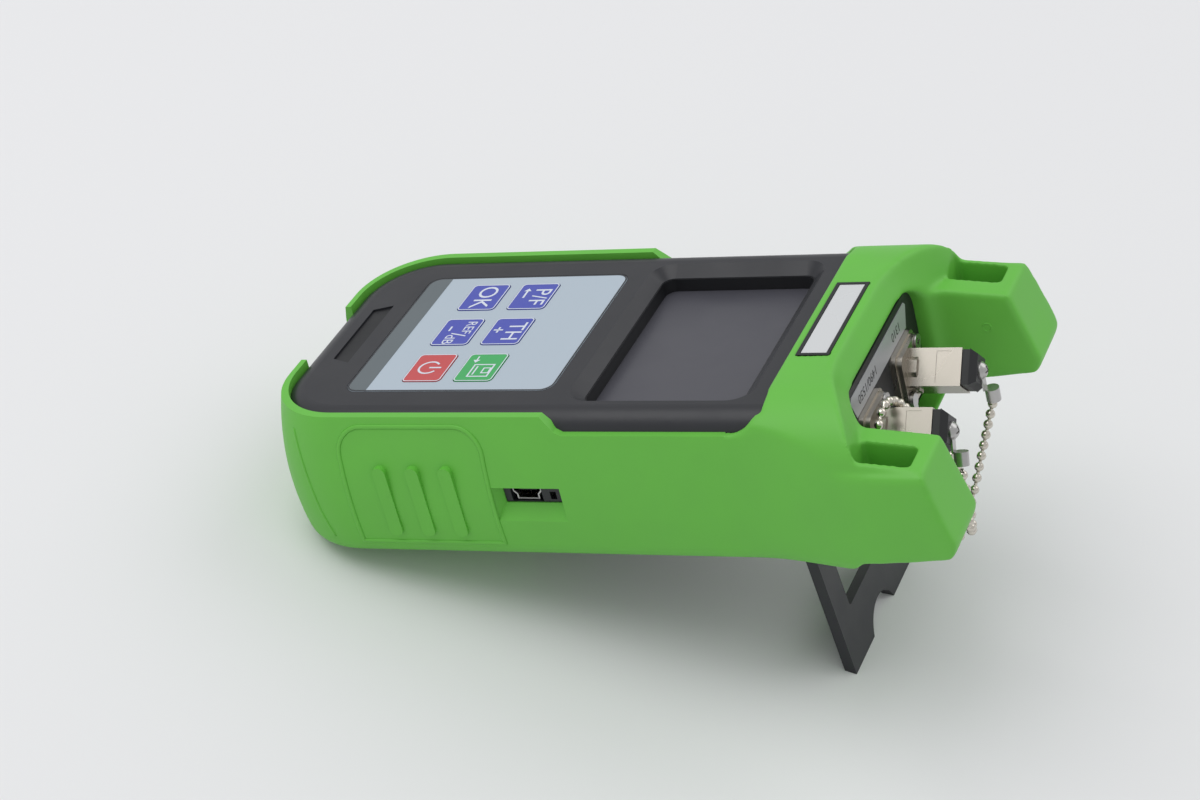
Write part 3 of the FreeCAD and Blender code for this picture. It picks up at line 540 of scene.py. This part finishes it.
SLOT_X, SLOT_Y = (36.3, 44.5), (135.9, 149.2)
PLATE_X, PLATE_Y = 16.8, (115.6, 124.6)
SPLIT_Y = 105.0                    # the eased end of the boot starts here, on the low rim
SPARE = 3.0                        # worked beyond the split and trimmed off afterwards
EVEN_MM = 0.45                     # size of the even faces that the horned end is worked in
ALL_TURNS, SOFT_TURNS = 7, 44      # rounds of easing: over the whole end, then where it is soft
THIN_OUT = 0.4                     # share of the faces that is kept after easing


def edge_softness(x, y, z):
    # How much the mould rounds the rubber at a place: fully over the band and horns, little at the
    # strap slots, the name plate and the plane where the two parts of the boot meet.
    grow = min(max((y - SPLIT_Y - 2.5) / 5.0, 0.0), 1.0)
    off_x = max(SLOT_X[0] - abs(x), abs(x) - SLOT_X[1], 0.0)
    off_y = max(SLOT_Y[0] - y, y - SLOT_Y[1], 0.0)
    near_slot = min(max((math.hypot(off_x, off_y) - 0.3) / 2.5, 0.0), 1.0)
    near_plate = min(max(abs(x) - PLATE_X, PLATE_Y[0] - y, y - PLATE_Y[1], 0.0) / 1.5, 1.0)
    return grow * near_slot * near_plate


def vectors(items):
    rows = np.empty(len(items) * 3, dtype=np.float32)
    items.foreach_get("vector", rows)
    return rows.reshape(-1, 3)


def cut_across(mesh, y, keep_low):
    # The part of a mesh on one side of the plane at y, closed at the cut. Its shading normals ride
    # along as corner values, since the cut would upset them.
    source = mesh.copy()
    shade = source.attributes.new("shade", "FLOAT_VECTOR", "CORNER")
    shade.data.foreach_set("vector", vectors(mesh.corner_normals).ravel())
    work = bmesh.new()
    work.from_mesh(source)
    bpy.data.meshes.remove(source)
    bmesh.ops.remove_doubles(work, verts=work.verts, dist=1e-6)
    along = MODEL.to_3x3().normalized() @ Vector((0, 1, 0))
    cut = bmesh.ops.bisect_plane(work, geom=work.verts[:] + work.edges[:] + work.faces[:], dist=1e-7,
                                 plane_co=at(0, y, 0), plane_no=along,
                                 clear_outer=keep_low, clear_inner=not keep_low)
    rim = [e for e in cut["geom_cut"] if isinstance(e, bmesh.types.BMEdge)]
    bmesh.ops.triangle_fill(work, edges=rim, use_beauty=True)
    done = bpy.data.meshes.new("boot_part")
    work.to_mesh(done)
    work.free()
    done.shade_smooth()
    kept = vectors(done.attributes["shade"].data)
    done.attributes.remove(done.attributes["shade"])
    on_cut = np.linalg.norm(kept, axis=1) < 1e-3
    kept[on_cut] = vectors(done.corner_normals)[on_cut]
    kept /= np.linalg.norm(kept, axis=1)[:, None]
    done.normals_split_custom_set(kept)
    return done


def boot_sleeve(material):
    # The sleeve keeps its crisp moulded edges, shaded by the true normals of the solid.
    mesh = cut_across(frame["nodes"]["boot"].data, SPLIT_Y, True)
    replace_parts(add_piece("boot_sleeve", mesh, "meter", material), "boot")


def boot_horns(material):
    # The horned end is remade in small even faces, its edges are eased as a soft mould leaves them,
    # and the faces are thinned out again.
    horns = show("boot_work", cut_across(frame["nodes"]["boot"].data, SPLIT_Y - SPARE, False))
    remesh = horns.modifiers.new("even", "REMESH")
    remesh.mode = "VOXEL"
    remesh.voxel_size = EVEN_MM * MM
    even = evaluated_mesh(horns)
    horns.modifiers.clear()
    horns.data = even
    soft = horns.vertex_groups.new(name="soft")
    all_over = horns.vertex_groups.new(name="all_over")
    for v in even.vertices:
        place = TO_MODEL @ v.co
        amount = edge_softness(*place)
        if amount > 0.02:
            soft.add([v.index], amount, "REPLACE")
        if place.y > SPLIT_Y + 1.5:
            all_over.add([v.index], 1.0, "REPLACE")
    for group, turns in (("all_over", ALL_TURNS), ("soft", SOFT_TURNS)):
        ease = horns.modifiers.new(group, "SMOOTH")
        ease.factor = 0.5
        ease.iterations = turns
        ease.vertex_group = group
    fewer = horns.modifiers.new("fewer", "DECIMATE")
    fewer.ratio = THIN_OUT
    mesh = cut_across(evaluated_mesh(horns), SPLIT_Y, False)
    bpy.data.objects.remove(horns)
    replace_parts(add_piece("boot_horns", mesh, "meter", material), "boot")


def ejector_ring(material):
    # Faint round mark left by an ejector pin on the inner wall of the left horn.
    ring_r, wire = 1.1, 0.16
    wall_x, middle_y, middle_z = -30.1, 146.0, -18.7
    turns, sides = 32, 6
    verts = []
    for k in range(turns):
        a = 2 * math.pi * k / turns
        for j in range(sides):
            b = -2 * math.pi * j / sides
            r = ring_r + wire * math.cos(b)
            verts.append((wall_x + wire * math.sin(b), middle_y + r * math.cos(a),
                          middle_z + r * math.sin(a)))
    mesh = mesh_from("ejector_ring", verts, tube_faces(turns, sides, True), smooth=True)
    add_drawn("ejector_ring", mesh, "meter", material)


# ---------------------------------------------------------------- display window


def window_dark_band(material):
    # A black band laid over the inner wall of the display window, from the chamfer down to the lens,
    # so that the wall renders darker than the case around it. The lens reaches under the case all around.
    low, high = extent("display_lens")
    under, gap, wall, chamfer_z = 1.7, 0.01, 0.25, -2.75
    x1, y0, y1 = high.x - under, low.y + under, high.y - under
    outer = rounded_outline(-x1 + gap, x1 - gap, y0 + gap, y1 - gap, 3.0)
    inner = rounded_outline(-x1 + wall, x1 - wall, y0 + wall, y1 - wall, 2.8)
    liner = strip_mesh(outer, inner, high.z + 0.02, chamfer_z)
    add_drawn("window_dark_band", liner, "meter", material)


# ---------------------------------------------------------------- lines moulded into the boot


LINE_STEP = 0.8                    # spacing of the points laid along a line (mm)
LINE_SIDES = 6
LINE_WIDE, LINE_HIGH = 1.3, 0.7    # a line is flattened: its half width and height over its radius


def moulded_line(name, points, side, radius, material, closed=True):
    # A fine raised line on the side of the boot: points in y and z are laid onto its surface.
    tree = BVHTree.FromObject(frame["nodes"]["boot"], bpy.context.evaluated_depsgraph_get())
    ends = points + [points[0]] if closed else points
    laid = []
    for (ya, za), (yb, zb) in zip(ends, ends[1:]):
        steps = max(1, round(math.hypot(yb - ya, zb - za) / LINE_STEP))
        for k in range(steps):
            y, z = ya + (yb - ya) * k / steps, za + (zb - za) * k / steps
            hit = tree.ray_cast(at(side * 70.0, y, z), Vector((-side, 0, 0)))
            if hit[0] is not None:
                laid.append((hit[0], hit[1]))
    n = len(laid)
    verts = []
    for k, (spot, normal) in enumerate(laid):
        nxt = laid[(k + 1) % n][0] if closed else laid[min(k + 1, n - 1)][0]
        prv = laid[k - 1][0] if closed else laid[max(k - 1, 0)][0]
        along = (nxt - prv).normalized()
        across = along.cross(normal).normalized()
        for j in range(LINE_SIDES):
            a = 2 * math.pi * j / LINE_SIDES
            out = across * math.cos(a) * LINE_WIDE + normal * math.sin(a) * LINE_HIGH
            verts.append(tuple(spot + out * radius * MM))
    mesh = mesh_from(name, verts, tube_faces(n, LINE_SIDES, closed), smooth=True)
    add_piece(name, mesh, "meter", material)


def grip_lines(rubber):
    # On each side: the outline around the grip ribs, and the line where the end cap begins.
    panel = (arc_points(35.5, -8.9, 7.0, 0, 90, 8) + arc_points(10.4, -8.9, 7.0, 90, 180, 8)
             + [(3.4, -33.4), (42.5, -33.4)])
    cap = [(-9.9, -3.8), (-8.6, -12.0), (-6.7, -25.0), (-4.7, -33.4)]
    for side, tag in ((1, "right"), (-1, "left")):
        moulded_line("grip_outline_" + tag, panel, side, 0.5, rubber)
        moulded_line("end_cap_line_" + tag, cap, side, 0.4, rubber, closed=False)


# ---------------------------------------------------------------- surroundings


def make_floor():
    # Matt white paper, well past every edge of the view.
    size = 3.0
    corners = [(-size, -size, 0), (size, -size, 0), (size, size, 0), (-size, size, 0)]
    mesh = mesh_from("floor", corners, [(0, 1, 2, 3)])
    mesh.materials.append(surface("matt_paper", "#E6E6E7", rough=0.85, grain_mm=0.8, bump=0.02))
    show("floor", mesh)


def make_world():
    # Even, very slightly cool light from all around.
    world = bpy.data.worlds.new("studio")
    world.use_nodes = True
    shade = world.node_tree.nodes["Background"]
    shade.inputs["Color"].default_value = linear("#F6F7F9")
    shade.inputs["Strength"].default_value = 0.66
    bpy.context.scene.world = world


# ---------------------------------------------------------------- the scene

bpy.context.scene.view_settings.view_transform = "Standard"
make_camera()
make_world()
soft_lamp("key", (0.25, -0.7, 1.5), (0, 0, 0.04), 1.6, 11.0)
soft_lamp("fill", (-1.0, 0.8, 1.3), (0, 0, 0.04), 1.6, 6.0)

materials = make_materials()
paint_cad(materials)
for chain_name, route in CHAIN_ROUTES.items():
    bead_chain(chain_name, route, materials["chain_nickel"])
key_print(materials)
film_print(materials)
label_print(materials)
grip_lines(materials["boot_rubber"])
boot_sleeve(materials["boot_rubber"])
boot_horns(materials["boot_rubber"])
ejector_ring(materials["boot_rubber"])
window_dark_band(materials["panel_black"])
make_floor()
